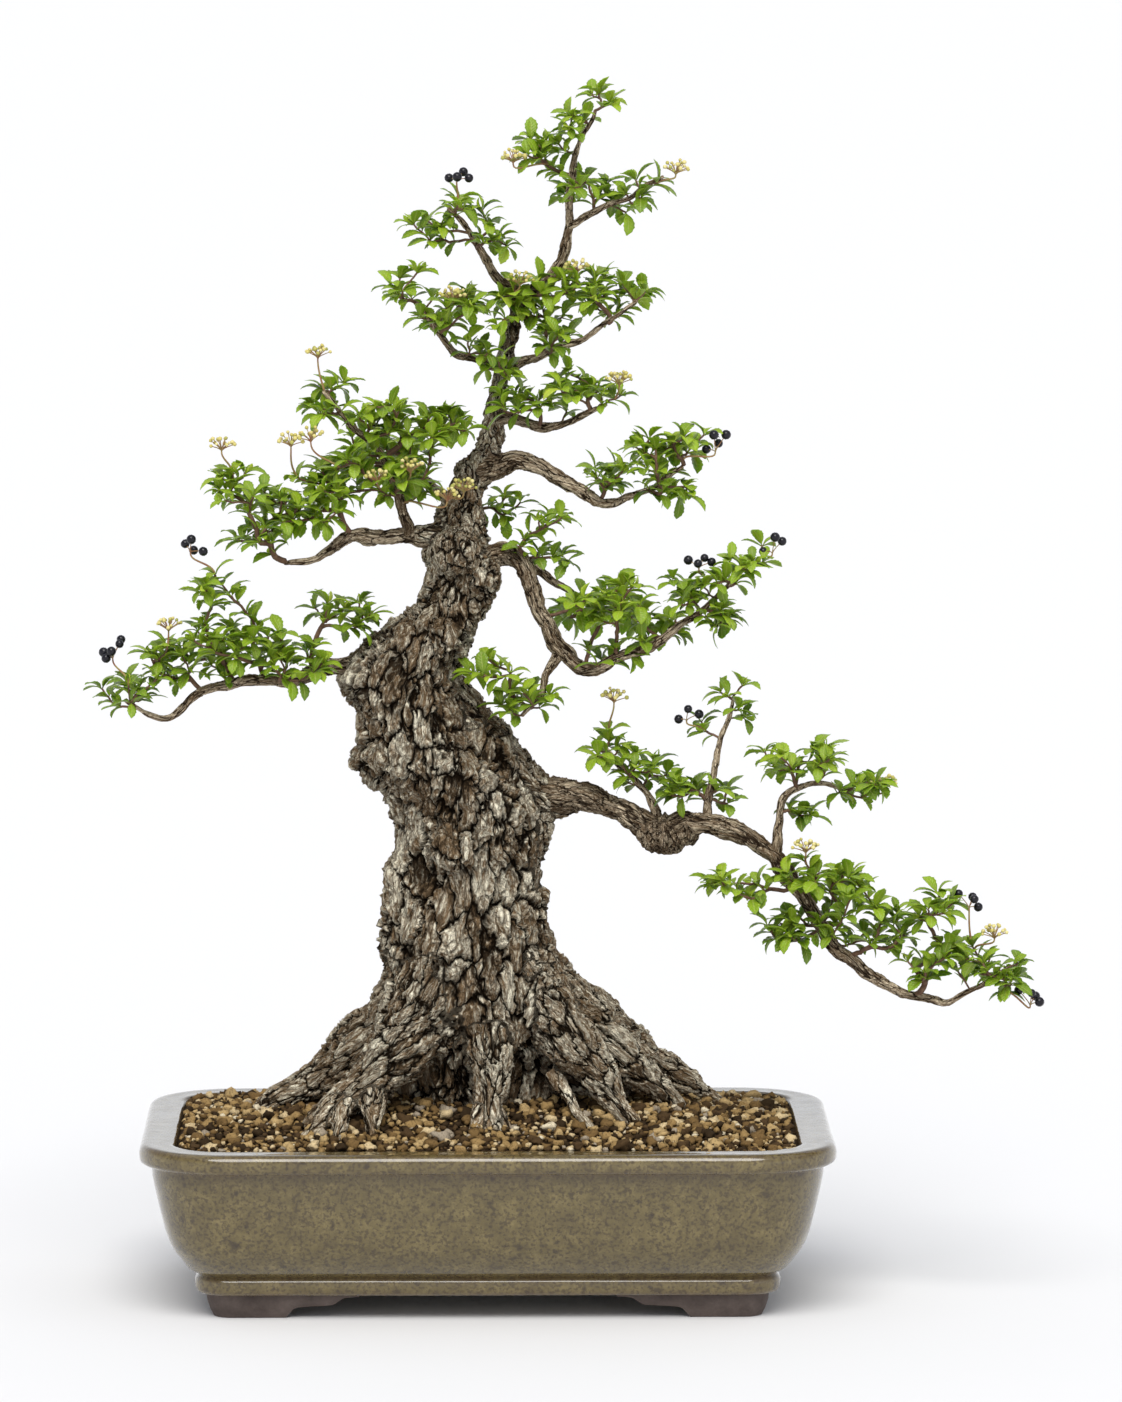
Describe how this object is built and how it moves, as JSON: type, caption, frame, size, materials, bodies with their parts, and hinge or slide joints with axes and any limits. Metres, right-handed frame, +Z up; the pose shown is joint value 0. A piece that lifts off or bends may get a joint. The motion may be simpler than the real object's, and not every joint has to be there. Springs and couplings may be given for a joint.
{
  "type": "bonsai tree in a pot",
  "caption": "Old-looking flowering bonsai with a craggy leaning trunk, flared surface roots and a low trailing branch, in a shallow rectangular glazed pot with bracket feet.",
  "frame": {"origin": "centre of the whole object's footprint box, on the surface that the pot's feet stand on", "axes": "+Z up the tree, +X along the pot's length towards the trailing branch, +Y to the back of the pot"},
  "size_m": [0.5674, 0.27, 0.7398],
  "materials": {
    "glaze_olive": "glossy speckled olive glaze",
    "clay_bare": "bare dark fired clay",
    "soil_granules": "mixed tan and dark baked clay granules",
    "bark_craggy": "deeply fissured bark",
    "bark_smooth": "rough young bark",
    "leaf_green": "satin green leaf",
    "flower_cream": "soft cream bud",
    "berry_black": "shiny black berry skin",
    "mesh_plastic": "matt black plastic mesh",
    "wire_aluminium": "drawn wire"
  },
  "bodies": {
    "root": {"berries_cascade_tall": "berry_black", "berries_cascade_tip": "berry_black", "berries_lower_left": "berry_black", "berries_mid_right": "berry_black", "drain_screen_left": "mesh_plastic", "drain_screen_right": "mesh_plastic", "flowers_apex": "flower_cream", "flowers_cascade": "flower_cream", "flowers_upper_left": "flower_cream", "leaves_apex_leader": "leaf_green", "leaves_apex_left": "leaf_green", "leaves_apex_low": "leaf_green", "leaves_apex_low_left": "leaf_green", "leaves_apex_mid": "leaf_green", "leaves_cascade_crown": "leaf_green", "leaves_cascade_inner": "leaf_green", "leaves_cascade_low": "leaf_green", "leaves_cascade_middle": "leaf_green", "leaves_cascade_tall": "leaf_green", "leaves_cascade_tip": "leaf_green", "leaves_lower_left": "leaf_green", "leaves_lower_left_inner": "leaf_green", "leaves_mid_drop": "leaf_green", "leaves_mid_inner": "leaf_green", "leaves_mid_outer": "leaf_green", "leaves_mid_upper": "leaf_green", "leaves_rear_left": "leaf_green", "leaves_rear_right": "leaf_green", "leaves_trunk_shoot": "leaf_green", "leaves_upper_left_inner": "leaf_green", "leaves_upper_left_outer": "leaf_green", "leaves_upper_right": "leaf_green", "pot_body": "glaze_olive", "pot_foot_back_left": "clay_bare", "pot_foot_back_right": "clay_bare", "pot_foot_front_left": "clay_bare", "pot_foot_front_right": "clay_bare", "screen_clip_left": "wire_aluminium", "screen_clip_right": "wire_aluminium", "soil_bed": "soil_granules", "stem_apex_left": "bark_smooth", "stem_apex_low_left": "bark_smooth", "stem_apex_low_right": "bark_smooth", "stem_apex_mid_right": "bark_smooth", "stem_cascade": "bark_smooth", "stem_cascade_crown": "bark_smooth", "stem_cascade_inner": "bark_smooth", "stem_cascade_tall": "bark_smooth", "stem_leader": "bark_smooth", "stem_leader_right": "bark_smooth", "stem_lower_left": "bark_smooth", "stem_mid_right": "bark_smooth", "stem_mid_right_drop": "bark_smooth", "stem_rear_left": "bark_smooth", "stem_rear_right": "bark_smooth", "stem_upper_left": "bark_smooth", "stem_upper_left_riser": "bark_smooth", "stem_upper_right": "bark_smooth", "trunk": "bark_craggy"}
  },
  "joints": []
}
